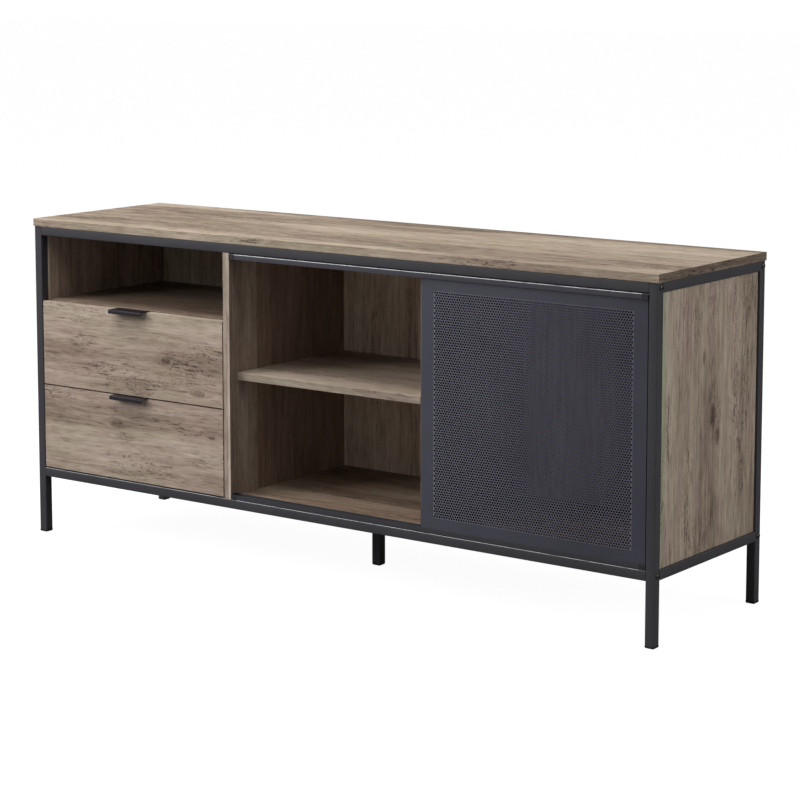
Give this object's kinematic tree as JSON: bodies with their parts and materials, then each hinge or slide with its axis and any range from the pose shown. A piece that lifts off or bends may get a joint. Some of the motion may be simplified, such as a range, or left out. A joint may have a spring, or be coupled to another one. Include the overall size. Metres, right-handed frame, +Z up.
{
  "type": "tv stand",
  "caption": "Low media stand with a wood-look top on a black tube frame, drawers under an open cubby, an open shelf bay and a sliding perforated metal door.",
  "frame": {"origin": "on the floor, under the middle of the metal frame (the centre leg's foot)", "axes": "+Z up, the front with the drawers and the door faces -Y, +X towards the door's side"},
  "size_m": [1.526, 0.4165, 0.676],
  "materials": {
    "wood_board": "matte grey-brown wood-grain laminate on particle board",
    "black_metal": "matte black powder coat",
    "zinc_steel": "zinc plated",
    "black_plastic": "matte"
  },
  "bodies": {
    "cabinet": {"top_panel": "wood_board", "leg_front_left": "black_metal", "leg_front_right": "black_metal", "leg_back_left": "black_metal", "leg_back_right": "black_metal", "rail_top_front": "black_metal", "rail_top_back": "black_metal", "rail_top_left": "black_metal", "rail_top_right": "black_metal", "rail_bottom_front": "black_metal", "rail_bottom_back": "black_metal", "rail_bottom_left": "black_metal", "rail_bottom_right": "black_metal", "cross_bar": "black_metal", "centre_leg": "black_metal", "feet": "black_plastic", "side_panel_left": "wood_board", "side_panel_right": "wood_board", "divider_left": "wood_board", "divider_right": "wood_board", "floor_panel": "wood_board", "cubby_shelf": "wood_board", "middle_shelf": "wood_board", "back_panel_left": "wood_board", "back_panel_middle": "wood_board", "back_panel_right": "wood_board", "top_track": "black_metal", "bottom_track": "black_metal", "track_end_caps": "black_plastic", "frame_bolts": "black_metal", "shelf_pins": "zinc_steel", "runner_upper_left": "zinc_steel", "runner_upper_right": "zinc_steel", "runner_lower_left": "zinc_steel", "runner_lower_right": "zinc_steel"},
    "drawer_upper": {"upper_front": "wood_board", "upper_side_left": "wood_board", "upper_side_right": "wood_board", "upper_back": "wood_board", "upper_bottom": "wood_board", "upper_pull": "black_metal", "upper_pull_screws": "zinc_steel", "upper_slide_left": "zinc_steel", "upper_slide_right": "zinc_steel"},
    "drawer_lower": {"lower_front": "wood_board", "lower_side_left": "wood_board", "lower_side_right": "wood_board", "lower_back": "wood_board", "lower_bottom": "wood_board", "lower_pull": "black_metal", "lower_pull_screws": "zinc_steel", "lower_slide_left": "zinc_steel", "lower_slide_right": "zinc_steel"},
    "door": {"door_sheet": "black_metal", "door_stile_left": "black_metal", "door_stile_right": "black_metal", "door_rail_top": "black_metal", "door_rail_bottom": "black_metal", "door_glides": "black_plastic"}
  },
  "joints": [
    {"name": "drawer_upper_slide", "type": "slide", "parent": "cabinet", "child": "drawer_upper", "axis": [0, -1, 0], "range_m": [0, 0.25]},
    {"name": "drawer_lower_slide", "type": "slide", "parent": "cabinet", "child": "drawer_lower", "axis": [0, -1, 0], "range_m": [0, 0.25]},
    {"name": "door_slide", "type": "slide", "parent": "cabinet", "child": "door", "axis": [-1, 0, 0], "range_m": [0, 0.4675]}
  ]
}
